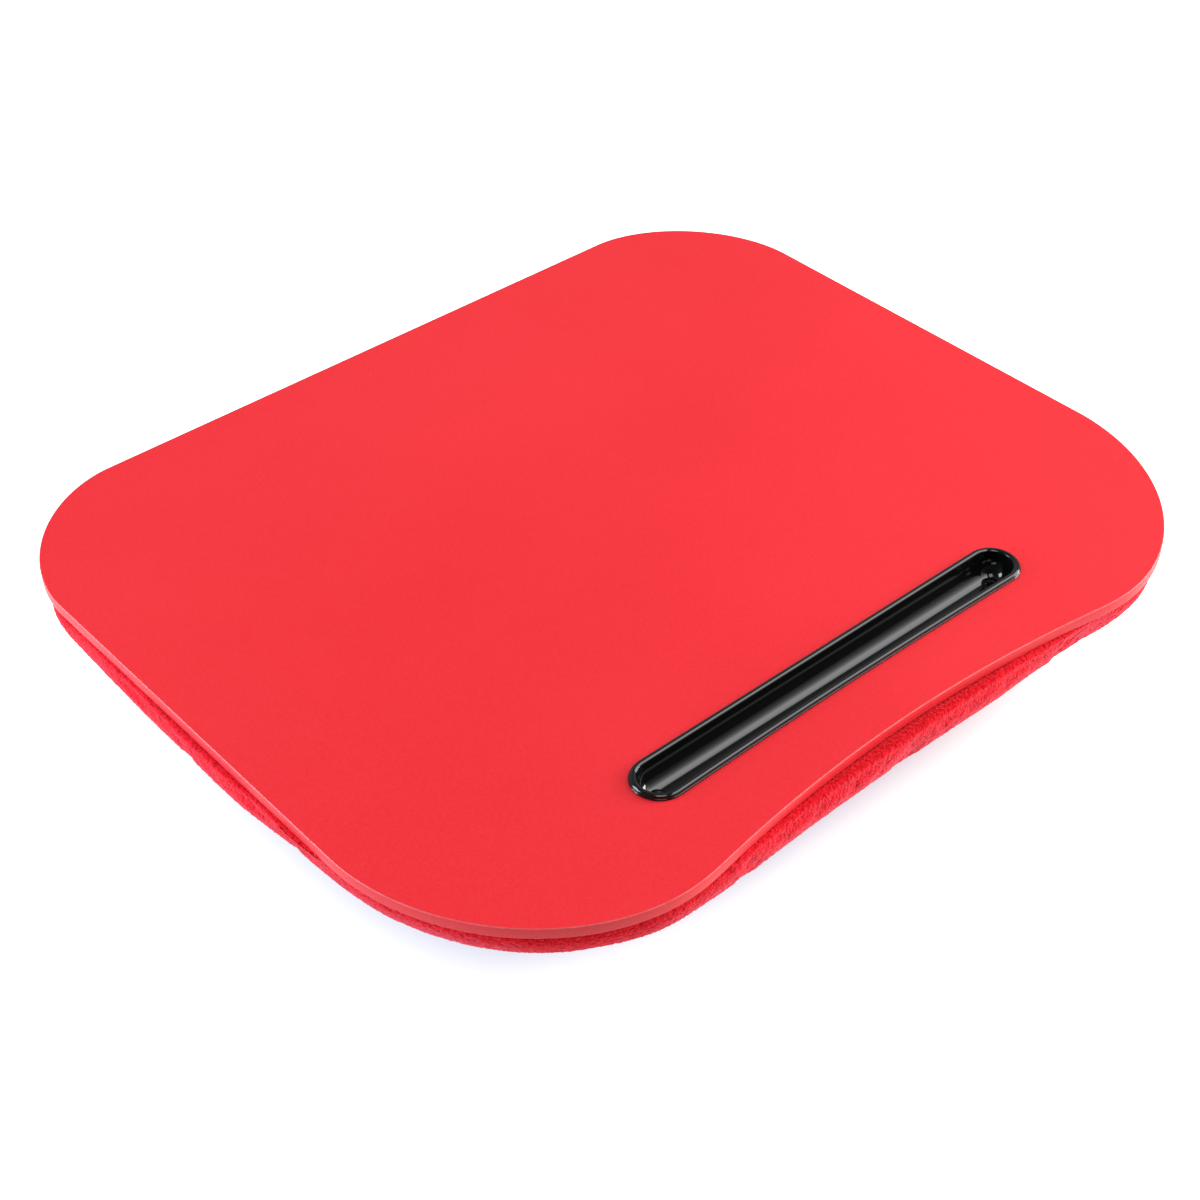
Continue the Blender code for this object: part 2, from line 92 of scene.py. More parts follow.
# ------------------------------------------------------------------ node helpers
class Nodes:
    """A material's node tree, with short calls for the nodes used here."""

    def __init__(self, name):
        self.mat = bpy.data.materials.new(name)
        self.mat.use_nodes = True
        self.tree = self.mat.node_tree
        self.shader = self.tree.nodes["Principled BSDF"]
        self.place = self.tree.nodes.new("ShaderNodeTexCoord").outputs["Object"]

    def link(self, a, b):
        self.tree.links.new(a, b)

    def set(self, **values):
        for key, value in values.items():
            self.shader.inputs[key.replace("_", " ")].default_value = value

    def scaled(self, x, y, z, turn=0.0):
        n = self.tree.nodes.new("ShaderNodeMapping")
        n.inputs["Scale"].default_value = (x, y, z)
        n.inputs["Rotation"].default_value = (0, 0, turn)
        self.link(self.place, n.inputs["Vector"])
        return n.outputs["Vector"]

    def noise(self, scale, detail=3.0, rough=0.5, vector=None, distortion=0.0):
        n = self.tree.nodes.new("ShaderNodeTexNoise")
        n.inputs["Scale"].default_value = scale
        n.inputs["Detail"].default_value = detail
        n.inputs["Roughness"].default_value = rough
        n.inputs["Distortion"].default_value = distortion
        self.link(vector or self.place, n.inputs["Vector"])
        return n.outputs["Fac"]

    def voronoi(self, scale, feature="F1", vector=None, out="Distance", random=1.0):
        n = self.tree.nodes.new("ShaderNodeTexVoronoi")
        n.feature = feature
        n.inputs["Scale"].default_value = scale
        n.inputs["Randomness"].default_value = random
        self.link(vector or self.place, n.inputs["Vector"])
        return n.outputs[out]

    def math(self, operation, a, b=None, clamp=False):
        n = self.tree.nodes.new("ShaderNodeMath")
        n.operation = operation
        n.use_clamp = clamp
        for i, value in enumerate((a, b)):
            if value is None:
                continue
            if isinstance(value, (int, float)):
                n.inputs[i].default_value = value
            else:
                self.link(value, n.inputs[i])
        return n.outputs[0]

    def spread(self, value, low, high, to_low=0.0, to_high=1.0):
        n = self.tree.nodes.new("ShaderNodeMapRange")
        n.clamp = True
        n.inputs["From Min"].default_value = low
        n.inputs["From Max"].default_value = high
        n.inputs["To Min"].default_value = to_low
        n.inputs["To Max"].default_value = to_high
        self.link(value, n.inputs["Value"])
        return n.outputs["Result"]

    def mix(self, factor, a, b):
        n = self.tree.nodes.new("ShaderNodeMix")
        n.data_type = "RGBA"
        for name, value in (("Factor", factor), ("A", a), ("B", b)):
            socket = next(s for s in n.inputs if s.name == name and s.enabled)
            if isinstance(value, tuple):
                socket.default_value = (*value, 1.0) if len(value) == 3 else value
            elif isinstance(value, (int, float)):
                socket.default_value = value
            else:
                self.link(value, socket)
        return next(s for s in n.outputs if s.enabled)

    def attribute(self, name):
        n = self.tree.nodes.new("ShaderNodeAttribute")
        n.attribute_name = name
        return n.outputs["Fac"]

    def bump(self, height, strength, distance, before=None):
        n = self.tree.nodes.new("ShaderNodeBump")
        n.inputs["Strength"].default_value = strength
        n.inputs["Distance"].default_value = distance
        self.link(height, n.inputs["Height"])
        if before is not None:
            self.link(before, n.inputs["Normal"])
        return n.outputs["Normal"]

    def finish(self, color=None, rough=None, normal=None):
        if color is not None:
            self.link(color, self.shader.inputs["Base Color"])
        if rough is not None:
            self.link(rough, self.shader.inputs["Roughness"])
        if normal is not None:
            self.link(normal, self.shader.inputs["Normal"])
        return self.mat


# ------------------------------------------------------------------ materials
def board_paint():
    """Red satin paint with a fine sprayed grain, faint cloudiness, a few specks and hairline scratches, and rounded
    edges painted paler: partly rub wear, partly a painted highlight.
    """
    n = Nodes("board_paint")
    n.set(Specular_IOR_Level=0.4, IOR=1.45)
    cloud = n.spread(n.noise(9.0, 2.0, 0.5), 0.3, 0.7)
    tone = n.mix(cloud, (0.805, 0.017, 0.027), (0.84, 0.021, 0.032))
    grain = n.noise(1150.0, 2.0, 0.6)
    tone = n.mix(n.spread(grain, 0.35, 0.65, 0.0, 0.2), tone, (0.95, 0.065, 0.07))
    # sparse pale specks
    speck = n.spread(n.voronoi(120.0), 0.0, 0.05, 1.0, 0.0)
    keep = n.spread(n.noise(61.0, 0.0), 0.66, 0.69)
    speck = n.math("MULTIPLY", speck, keep)
    tone = n.mix(n.math("MULTIPLY", speck, 0.4), tone, (0.95, 0.35, 0.32))
    # a few hairline scratches, each one a short stretch of a long thin noise cell
    fine = n.spread(n.noise(60.0, 1.0, 0.4, n.scaled(0.45, 60.0, 1.0, 0.52)), 0.82, 0.835)
    fine2 = n.spread(n.noise(60.0, 1.0, 0.4, n.scaled(0.5, 55.0, 1.0, -0.62)), 0.825, 0.84)
    scratch = n.math("MAXIMUM", fine, fine2)
    tone = n.mix(n.math("MULTIPLY", scratch, 0.16), tone, (0.95, 0.3, 0.28))
    # the rounded edges are painted paler, partly as rub wear and partly as a painted highlight along the crease
    rub_and_shine = n.math("MULTIPLY", n.attribute("edge"), n.spread(n.noise(420.0, 3.0), 0.3, 0.6, 0.55, 1.0))
    tone = n.mix(n.math("MULTIPLY", rub_and_shine, 0.75), tone, (0.95, 0.2, 0.2))
    rough = n.spread(n.noise(14.0, 3.0), 0.3, 0.7, 0.38, 0.43)
    rough = n.math("ADD", rough, n.math("MULTIPLY", scratch, 0.06))
    normal = n.bump(grain, 0.35, 0.00006)
    normal = n.bump(n.noise(95.0, 2.0), 0.1, 0.00022, normal)
    return n.finish(tone, rough, normal)


def trough_plastic():
    """Glossy black moulded plastic with faint rub marks and a little dust."""
    n = Nodes("trough_plastic")
    n.set(Specular_IOR_Level=0.5, IOR=1.5, Coat_Weight=0.15, Coat_Roughness=0.05)
    dust = n.spread(n.voronoi(520.0), 0.0, 0.10, 1.0, 0.0)
    dust = n.math("MULTIPLY", dust, n.spread(n.noise(140.0, 1.0), 0.62, 0.68))
    tone = n.mix(n.math("MULTIPLY", dust, 0.35), (0.0042, 0.0045, 0.0045), (0.16, 0.16, 0.155))
    rub_and_shine = n.noise(70.0, 4.0, 0.6, n.scaled(0.35, 5.0, 2.0))
    rough = n.spread(rub_and_shine, 0.35, 0.7, 0.08, 0.12)
    normal = n.bump(n.noise(900.0, 2.0), 0.05, 0.00005)
    normal = n.bump(n.noise(60.0, 2.0), 0.06, 0.0003, normal)
    return n.finish(tone, rough, normal)


def clamp_plastic():
    n = Nodes("clamp_plastic")
    n.set(Specular_IOR_Level=0.45)
    grain = n.noise(1700.0, 2.0)
    tone = n.mix(n.noise(120.0, 2.0), (0.012, 0.012, 0.013), (0.022, 0.022, 0.023))
    return n.finish(tone, n.spread(grain, 0.3, 0.7, 0.45, 0.62), n.bump(grain, 0.4, 0.0001))


def screw_steel():
    n = Nodes("screw_steel")
    n.set(Metallic=0.85)
    worn = n.spread(n.noise(700.0, 3.0), 0.55, 0.7)
    tone = n.mix(worn, (0.035, 0.035, 0.037), (0.2, 0.2, 0.2))
    return n.finish(tone, n.spread(worn, 0.0, 1.0, 0.22, 0.34), n.bump(n.noise(2600.0, 2.0), 0.2, 0.00004))


def foam_tape():
    n = Nodes("foam_tape")
    cells = n.voronoi(2400.0)
    tone = n.mix(n.noise(80.0, 3.0), (0.74, 0.72, 0.66), (0.82, 0.81, 0.77))
    return n.finish(tone, n.spread(cells, 0.0, 0.5, 0.7, 0.9), n.bump(cells, 0.4, 0.00015))


def woven_cloth():
    """Plain-woven red cloth: two crossing sets of yarns about 0.7 mm apart."""
    n = Nodes("woven_cloth")
    n.set(Sheen_Weight=0.25, Sheen_Roughness=0.5)
    split = n.tree.nodes.new("ShaderNodeSeparateXYZ")
    n.link(n.place, split.inputs[0])
    pitch = 2 * math.pi / (0.7 * MM)
    across = n.math("SINE", n.math("MULTIPLY", split.outputs[0], pitch))
    along = n.math("SINE", n.math("MULTIPLY", split.outputs[1], pitch))
    weave = n.math("ABSOLUTE", n.math("ADD", across, along))
    weave = n.math("ADD", weave, n.math("MULTIPLY", n.noise(900.0, 3.0), 0.5))
    tone = n.mix(n.spread(weave, 0.0, 2.2), (0.24, 0.008, 0.014), (0.5, 0.022, 0.034))
    return n.finish(tone, n.spread(weave, 0.0, 2.0, 0.9, 0.75), n.bump(weave, 0.6, 0.0002))


def fleece():
    """Curly-pile fleece. The clumps are in the mesh, and their height is in its pile attribute. The curls on them are finer."""
    n = Nodes("fleece")
    n.set(Sheen_Weight=0.42, Sheen_Roughness=0.4, Specular_IOR_Level=0.06)
    n.shader.inputs["Sheen Tint"].default_value = (1.0, 0.42, 0.54, 1.0)
    pile = n.attribute("pile")
    bend = n.tree.nodes.new("ShaderNodeVectorMath")
    bend.operation = "MULTIPLY_ADD"
    wander = n.tree.nodes.new("ShaderNodeTexNoise")
    wander.inputs["Scale"].default_value = 700.0
    n.link(n.place, wander.inputs["Vector"])
    n.link(wander.outputs["Color"], bend.inputs[0])
    bend.inputs[1].default_value = (0.0011, 0.0011, 0.0011)
    n.link(n.place, bend.inputs[2])
    curl = n.spread(n.voronoi(1050.0, "SMOOTH_F1", bend.outputs[0]), 0.1, 0.62, 1.0, 0.0)
    hair = n.noise(3600.0, 2.0, 0.6)
    depth = n.math("ADD", n.math("MULTIPLY", pile, 0.6), n.math("MULTIPLY", curl, 0.4))
    depth = n.math("ADD", depth, n.math("MULTIPLY", n.math("SUBTRACT", hair, 0.5), 0.25))
    # painted shade and highlight: where the pile is low, in the crevices, it is coloured a darker red, and the highest
    # clump tops are coloured paler
    tone = n.mix(n.spread(depth, 0.02, 0.44), (0.46, 0.001, 0.006), (0.86, 0.012, 0.023))
    tone = n.mix(n.spread(depth, 0.5, 0.95, 0.0, 0.85), tone, (0.99, 0.05, 0.062))
    patch = n.spread(n.noise(38.0, 3.0), 0.3, 0.7, 0.0, 0.12)
    tone = n.mix(patch, tone, (0.7, 0.006, 0.014))
    normal = n.bump(curl, 0.6, 0.00035)
    normal = n.bump(hair, 0.4, 0.00012, normal)
    return n.finish(tone, n.spread(depth, 0.0, 1.0, 1.0, 0.85), normal)


def bead_plastic():
    n = Nodes("bead_foam")
    n.set(Specular_IOR_Level=0.35)
    cells = n.voronoi(2600.0)
    tone = n.mix(n.noise(260.0, 2.0), (0.80, 0.80, 0.79), (0.88, 0.88, 0.87))
    return n.finish(tone, n.spread(cells, 0.0, 0.5, 0.45, 0.65), n.bump(cells, 0.25, 0.0001))


PAINT, GLOSS, CLAMP, STEEL = board_paint(), trough_plastic(), clamp_plastic(), screw_steel()
TAPE, CLOTH, FLEECE, BEADS = foam_tape(), woven_cloth(), fleece(), bead_plastic()


# ------------------------------------------------------------------ shapes
def quarter(n, steps):
    t = np.linspace(0, np.pi / 2, steps + 1)
    return np.sin(t) ** (2 / n), np.cos(t) ** (2 / n)


def outline(half_w, back_y, front_y, back, front, sag, bow, count):
    """The tray's plan outline, clockwise from the middle of the back edge, as evenly spaced points."""
    px, py = [0.0], [back_y]
    a, b = quarter(back[2], 80)
    px += list(half_w - back[0] + back[0] * a)
    py += list(back_y - back[1] + back[1] * b)
    px += [half_w] * 30
    py += list(np.linspace(back_y - back[1], -front_y + front[1], 32)[1:-1])
    a, b = quarter(front[2], 80)
    px += list(half_w - front[0] + front[0] * b)
    py += list(-front_y + front[1] * (1 - a))
    u = np.linspace(1, 0, 41)[1:]
    px += list((half_w - front[0]) * u)
    py += list(-front_y + sag * (1 - u * u))
    x, y = np.array(px), np.array(py)
    v = np.minimum(1.0, np.abs((y - (back_y - front_y) / 2) / ((back_y + front_y) / 2)))
    x = x + bow * (1 - v * v) * (x / half_w) ** 4
    x, y = np.r_[x, -x[-2:0:-1]], np.r_[y, y[-2:0:-1]]
    xs, ys = np.r_[x, x[0]], np.r_[y, y[0]]
    run = np.r_[0, np.cumsum(np.hypot(np.diff(xs), np.diff(ys)))]
    even = np.linspace(0, run[-1], 1401)
    line = np.c_[np.interp(even, run, xs), np.interp(even, run, ys)][:-1]
    # the front corners run smoothly into the front edge
    soft = np.zeros_like(line)
    total = 0.0
    for k in range(-28, 29):
        share = math.exp(-0.5 * (k * even[1] / (9 * MM)) ** 2)
        soft += share * np.roll(line, k, 0)
        total += share
    near = np.exp(-(((np.abs(line[:, 0]) - half_w + front[0]) / (24 * MM)) ** 2)) * (line[:, 1] < 0)
    line += near[:, None] * (soft / total - line)
    line = np.r_[line, line[:1]]
    at = np.linspace(0, run[-1], count + 1)[:-1]
    return np.c_[np.interp(at, even, line[:, 0]), np.interp(at, even, line[:, 1])]


def side_normals(line):
    """Outward unit normals of a clockwise outline."""
    t = np.roll(line, -1, 0) - np.roll(line, 1, 0)
    t /= np.linalg.norm(t, axis=1)[:, None]
    return np.c_[-t[:, 1], t[:, 0]]


def new_object(name, mesh, mat, smooth=True):
    obj = bpy.data.objects.new(name, mesh)
    scene.collection.objects.link(obj)
    mesh.materials.append(mat)
    if smooth:
        mesh.shade_smooth()
    return obj


def grid_mesh(name, rows, closed_rows=True):
    """A mesh from rows of points, each row a closed ring. rows is an array of (row, column, 3)."""
    count_r, count_c = rows.shape[:2]
    mesh = bpy.data.meshes.new(name)
    i = np.arange(count_r - 1)[:, None] * count_c
    j = np.arange(count_c)[None]
    k = (j + 1) % count_c
    faces = np.stack([i + j, i + k, i + count_c + k, i + count_c + j], -1).reshape(-1, 4)
    mesh.from_pydata(rows.reshape(-1, 3).tolist(), [], faces.tolist())
    return mesh


def stadium_ring(radius, share=1.0, steps=40, straight=30):
    """Plan points of a slot's outline about the trough, clockwise, with its straight sides divided too. The front side bends in by a share of the bow."""
    pts = []
    for side in (1, -1):
        xs = np.linspace(-TROUGH_HALF * side, TROUGH_HALF * side, straight + 1)[:-1]
        bow = TROUGH_BOW * share if side < 0 else 0.0
        pts += [(x, radius * side + bow * (1 - (x / TROUGH_HALF) ** 2)) for x in xs]
        t = np.linspace(np.pi / 2, -np.pi / 2, steps + 1)[:-1]
        pts += [(side * (TROUGH_HALF + radius * math.cos(a)), side * radius * math.sin(a)) for a in t]
    return np.array(pts) + [0.0, TROUGH_Y]


def make_board():
    """The board with rounded edges, and a slot with eased edges. The rings run from the slot's top edge out, round, and back in below."""
    count = 720
    line = outline(BOARD_W / 2, BOARD_D / 2, BOARD_D / 2, BACK, FRONT, FRONT_SAG, 0.0, count)
    out = side_normals(line)
    r_top, r_low = 0.42 * MM, 0.3 * MM
    outer, edge = [], []

    def ring(inset, z, rub_and_shine):
        outer.append((line - out * inset, z))
        edge.append(rub_and_shine)

    ring(r_top + 0.5 * MM, Z_TOP, 0.0)
    # each ring's value in the edge layer paints the rounded edges paler, most midway round each rounding: partly rub
    # wear, partly a painted highlight
    for i in range(8):
        t = math.pi / 2 * i / 7
        ring(r_top * (1 - math.sin(t)), Z_TOP - r_top * (1 - math.cos(t)), math.sin(2 * t) ** 0.5)
    for i in range(6):
        t = math.pi / 2 * i / 5
        ring(r_low * (1 - math.cos(t)), Z_UNDER + r_low * (1 - math.sin(t)), 0.6 * math.sin(2 * t) ** 0.5)
    ring(r_low + 0.5 * MM, Z_UNDER, 0.0)

    slot_r = BODY_R + 0.35 * MM
    ease = 0.4 * MM
    inner = [
        (stadium_ring(slot_r + ease + 0.5 * MM), Z_TOP),
        (stadium_ring(slot_r + ease), Z_TOP),
        (stadium_ring(slot_r + ease * 0.3), Z_TOP - ease * 0.3),
        (stadium_ring(slot_r), Z_TOP - ease),
        (stadium_ring(slot_r), Z_UNDER + ease),
        (stadium_ring(slot_r + ease * 0.3), Z_UNDER + ease * 0.3),
        (stadium_ring(slot_r + ease), Z_UNDER),
        (stadium_ring(slot_r + ease + 0.5 * MM), Z_UNDER),
    ]
    mesh = bpy.data.meshes.new("board")
    work = bmesh.new()
    layer = work.verts.layers.float.new("edge")
    runs = []
    for rings, rub_and_shine_weights in ((outer, edge), (inner, [0.0] * len(inner))):
        made = []
        for (plan, z), rub_and_shine in zip(rings, rub_and_shine_weights):
            loop = []
            for x, y in plan:
                v = work.verts.new((x, y, z))
                v[layer] = rub_and_shine
                loop.append(v)
            made.append(loop)
        for low, high in zip(made, made[1:]):
            n = len(low)
            for i in range(n):
                j = (i + 1) % n
                work.faces.new((low[i], low[j], high[j], high[i]))
        runs.append(made)
    for which in (0, -1):
        edges = []
        for made in runs:
            loop = made[which]
            for i in range(len(loop)):
                pair = (loop[i], loop[(i + 1) % len(loop)])
                edges.append(work.edges.get(pair) or work.edges.new(pair))
        bmesh.ops.triangle_fill(work, use_beauty=True, use_dissolve=False, edges=edges)
    bmesh.ops.recalc_face_normals(work, faces=work.faces)
    work.to_mesh(mesh)
    work.free()
    obj = new_object("board", mesh, PAINT)
    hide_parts("top_board")
    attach(obj, "root")
    return obj


def arc(radius, centre_z, start, end, steps):
    t = np.radians(np.linspace(start, end, steps + 1))
    return [(radius * math.cos(a), centre_z - radius * math.sin(a)) for a in t]


def lip(x, z, turns):
    """Points of a rounded lip from the place (x, z): arcs of (radius, start, end), whose angles are the surface's tilt, over the top from outside to inside."""
    found = [(x, z)]
    for radius, start, end in turns:
        steps = max(3, int(abs(end - start) / 6))
        for i in range(steps):
            a, b = (math.radians(start + (end - start) * k / steps) for k in (i, i + 1))
            x -= radius * abs(math.sin(b) - math.sin(a))
            z += radius * (math.cos(b) - math.cos(a))
            found.append((x, z))
    return found


def make_trough():
    """The moulded trough: rim flange with rounded lips, straight upper wall, round floor and a spot-faced seat for each screw."""
    arc_z = Z_FLOOR + HOLLOW_R
    under = Z_TOP + 0.05 * MM
    bead = 0.3 * MM
    r_out = TROUGH_W / 2
    wall = r_out - 0.35 * MM
    foot = [(r_out - bead + bead * math.sin(math.pi * i / 8), under + bead - bead * math.cos(math.pi * i / 8)) for i in range(8)]
    profile = (
        arc(BODY_R, arc_z, 84, 0, 14)
        + [(BODY_R, under)]
        + foot
        + [(wall, under + 0.62 * MM)]
        + lip(wall, Z_RIM - 0.758 * MM, ((0.45 * MM, 90, 34), (3.3 * MM, 34, 21), (0.6 * MM, 21, 0)))
        + lip(HOLLOW_R + 0.974 * MM, Z_RIM, ((0.5 * MM, 0, 21), (3.3 * MM, 21, 34), (0.3 * MM, 34, 90)))
        + [(HOLLOW_R, Z_RIM - 1.5 * MM)]
        + arc(HOLLOW_R, arc_z, 0, 86, 30)
    )
    rows = []
    for i, (r, z) in enumerate(profile):
        ring = stadium_ring(r, min(1.0, r / (BODY_R if i < 15 else HOLLOW_R)))
        rows.append(np.c_[ring, np.full(len(ring), z)])
    rows = np.array(rows)
    mesh = grid_mesh("trough", rows)
    work = bmesh.new()
    work.from_mesh(mesh)
    work.verts.ensure_lookup_table()
    n = rows.shape[1]
    work.faces.new([work.verts[i] for i in range(n)])
    last = (rows.shape[0] - 1) * n
    work.faces.new([work.verts[last + i] for i in range(n)][::-1])
    bmesh.ops.recalc_face_normals(work, faces=work.faces)
    work.to_mesh(mesh)
    work.free()
    obj = new_object("trough", mesh, GLOSS)
    head_top = Z_FLOOR + 0.35 * MM
    for side in (-1, 1):
        cutter = bpy.data.meshes.new("seat")
        work = bmesh.new()
        made = []
        for r, z in ((3.5, 1.2), (3.45, -0.45), (1.8, -2.1), (1.8, -6.0)):
            loop = []
            for i in range(72):
                t = 2 * math.pi * i / 72
                loop.append(work.verts.new((side * SCREW_SPACING / 2 + r * MM * math.cos(t), TROUGH_Y + r * MM * math.sin(t), head_top + z * MM)))
            made.append(loop)
        for low, high in zip(made, made[1:]):
            for i in range(72):
                j = (i + 1) % 72
                work.faces.new((low[i], low[j], high[j], high[i]))
        work.faces.new(made[0])
        work.faces.new(made[-1][::-1])
        bmesh.ops.recalc_face_normals(work, faces=work.faces)
        work.to_mesh(cutter)
        work.free()
        tool = bpy.data.objects.new("seat", cutter)
        scene.collection.objects.link(tool)
        mod = obj.modifiers.new("seat", "BOOLEAN")
        mod.operation = "DIFFERENCE"
        mod.solver = "EXACT"
        mod.object = tool
        bpy.context.view_layer.update()
        graph = bpy.context.evaluated_depsgraph_get()
        done = bpy.data.meshes.new_from_object(obj.evaluated_get(graph))
        obj.modifiers.clear()
        obj.data = done
        bpy.data.objects.remove(tool, do_unlink=True)
    obj.data.shade_smooth()
    obj.data.set_sharp_from_angle(angle=math.radians(35))
    if not obj.data.materials:
        obj.data.materials.append(GLOSS)
    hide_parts("pen_trough")
    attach(obj, "root")
    return obj


board = make_board()
trough = make_trough()

# ------------------------------------------------------------------ cushion
CUSHION = dict(
    half_w=195.5 * MM,
    back_y=168.2 * MM,
    front_y=167.7 * MM,
    back=BACK,
    front=(91.0 * MM, 118.5 * MM, 2.37),
    sag=2.8 * MM,
    bow=6.5 * MM,
)
WIDEST = 3.1 * MM
RIM_INSET = 3.2 * MM
UNDERCUT = 94.0 * MM
SIM_COLS = 336


def section(rows):
    """(inset, level) pairs evenly spaced down the cushion's side, from the rim to the flat bottom's edge."""
    widest = Z_UNDER - WIDEST
    rim = Z_UNDER - GAP
    t = np.linspace(0, np.pi / 2, 40)
    a = np.c_[RIM_INSET * (1 - np.sin(t)), widest + (rim - widest) * np.cos(t)]
    t = np.linspace(0, np.pi / 2, 300)[1:]
    b = np.c_[UNDERCUT * (1 - np.cos(t)), widest * (1 - np.sin(t))]
    p = np.vstack([a, b])
    run = np.r_[0, np.cumsum(np.hypot(*np.diff(p, axis=0).T))]
    at = np.linspace(0, run[-1], rows)
    return np.c_[np.interp(at, run, p[:, 0]), np.interp(at, run, p[:, 1])], run[-1]


def cushion_rings(cols, rows):
    line = outline(count=cols, **CUSHION)
    reach = np.abs(line).max(0)
    prof, length = section(rows)
    rings = np.empty((rows, cols, 3))
    for i, (inset, z) in enumerate(prof):
        rings[i, :, :2] = line * (1 - inset / reach)
        rings[i, :, 2] = z
    return rings, length


def inflate(rings):
    """The sewn cover filled by its beads: cloth held at the rim seam and where it lies flat, under a gentle pressure,
    with no gravity and no collisions.
    """
    rows, cols = rings.shape[:2]
    mesh = grid_mesh("cover_sim", rings)
    obj = bpy.data.objects.new("cover_sim", mesh)
    scene.collection.objects.link(obj)
    held = obj.vertex_groups.new(name="held")
    held.add(list(range(cols)) + list(range(cols * (rows - 2), cols * rows)), 1.0, "REPLACE")
    mod = obj.modifiers.new("cloth", "CLOTH")
    s = mod.settings
    s.quality = 6
    s.mass = 0.25
    s.tension_stiffness = s.compression_stiffness = 22
    s.shear_stiffness = 9
    s.bending_stiffness = 1.2
    s.tension_damping = s.compression_damping = 8
    s.bending_damping = 1.0
    s.air_damping = 4
    s.shrink_min = -0.01
    s.use_pressure = True
    s.uniform_pressure_force = 1.2
    s.vertex_group_mass = "held"
    s.effector_weights.gravity = 0
    mod.collision_settings.use_collision = False
    mod.collision_settings.use_self_collision = False
    scene.frame_start, scene.frame_end = 1, 24
    mod.point_cache.frame_start, mod.point_cache.frame_end = 1, 24
    for f in range(1, 21):
        scene.frame_set(f)
    graph = bpy.context.evaluated_depsgraph_get()
    done = obj.evaluated_get(graph).to_mesh()
    found = np.empty(rows * cols * 3, np.float32)
    done.vertices.foreach_get("co", found)
    found = found.reshape(rows, cols, 3).astype(float)
    scene.frame_set(1)
    bpy.data.objects.remove(obj, do_unlink=True)
    move = found - rings
    size = np.linalg.norm(move, axis=2, keepdims=True)
    print("cloth moves, mm: mean %.2f most %.2f" % (size.mean() * 1000, size.max() * 1000))
    return move


def cubic(a, at, axis, wrap):
    """Catmull-Rom interpolation of an array along one axis, at fractional places."""
    n = a.shape[axis]
    i = np.floor(at).astype(int)
    f = at - i
    take = []
    for k in (-1, 0, 1, 2):
        j = (i + k) % n if wrap else np.clip(i + k, 0, n - 1)
        take.append(np.take(a, j, axis=axis))
    shape = [1] * a.ndim
    shape[axis] = -1
    f = f.reshape(shape)
    p0, p1, p2, p3 = take
    return 0.5 * (
        2 * p1 + (p2 - p0) * f + (2 * p0 - 5 * p1 + 4 * p2 - p3) * f**2 + (3 * p1 - p0 - 3 * p2 + p3) * f**3
    )


def soft_cap(move, cap):
    size = np.linalg.norm(move, axis=2, keepdims=True) + 1e-12
    return move / size * cap * np.tanh(size / cap)


SIM_ROWS = 30
base, SECTION_LENGTH = cushion_rings(SIM_COLS, SIM_ROWS)
cloth_move = soft_cap(inflate(base), 0.8 * MM)


def lumps(points, scale, seed):
    """Smooth noise at each point, in -1 to 1."""
    shift = Vector((seed * 3.1, seed * 1.7, seed * 2.3))
    return np.array([noise.noise(Vector(p) * scale + shift) for p in points.reshape(-1, 3)]).reshape(points.shape[:-1])


# without a seed of its own, noise_vector takes one from the clock
noise.seed_set(5)


def pile(points):
    """Height of the curly pile at each point, 0 to 1: clumps about 1.2 mm across with crevices between them."""
    found = np.empty(points.shape[:-1])
    flat = points.reshape(-1, 3)
    out = found.reshape(-1)
    for i, p in enumerate(flat):
        v = Vector(p)
        bend = noise.noise_vector(v * 420.0) * 0.45
        near = noise.voronoi(v * 860.0 + bend)[0]
        curl = noise.noise(v * 1500.0)
        out[i] = min(1.0, max(0.0, 1.05 - 1.15 * near[0] + 0.25 * curl))
    return found


def normals_of(rings):
    """Outward unit normals of a grid of rings."""
    along = np.roll(rings, -1, 1) - np.roll(rings, 1, 1)
    down = np.gradient(rings, axis=0)
    n = np.cross(along, down)
    n /= np.linalg.norm(n, axis=2, keepdims=True) + 1e-12
    if (n[:, :, :2] * rings[:, :, :2]).sum() < 0:
        n = -n
    return n


def corners(plan):
    """How much each point of the outline belongs to a corner, 0 at the middle of a side to 1."""
    spread = (np.abs(plan[:, 0]) / (195 * MM)) * (np.abs(plan[:, 1]) / (168 * MM))
    t = np.clip((spread - 0.42) / 0.22, 0, 1)
    return t * t * (3 - 2 * t)


# where the filling pushes the cover out, or leaves it slack: plan place, how far out, and how wide, in mm
PUFFS = (
    (102, -164, -2.4, 13),
    (74, -162, -1.4, 13),
    (132, -162, 1.0, 12),
    (154, -155, 0.8, 14),
    (-98, -163, 0.3, 10),
    (-124, -162, 0.9, 9),
    (-145, -154, -0.6, 8),
    (-194, -82, -0.8, 9),
    (-197, -66, -1.4, 9),
    (-199, -51, -1.6, 9),
    (-200, -36, -0.8, 9),
    (-196, 119, 1.0, 25),
)


def puffs(plan):
    """How far each point of the outline is pushed out."""
    found = np.zeros(len(plan))
    for x, y, out, wide in PUFFS:
        near = np.hypot(plan[:, 0] - x * MM, plan[:, 1] - y * MM) / (wide * MM)
        found += out * MM * np.exp(-0.5 * near**2)
    return found


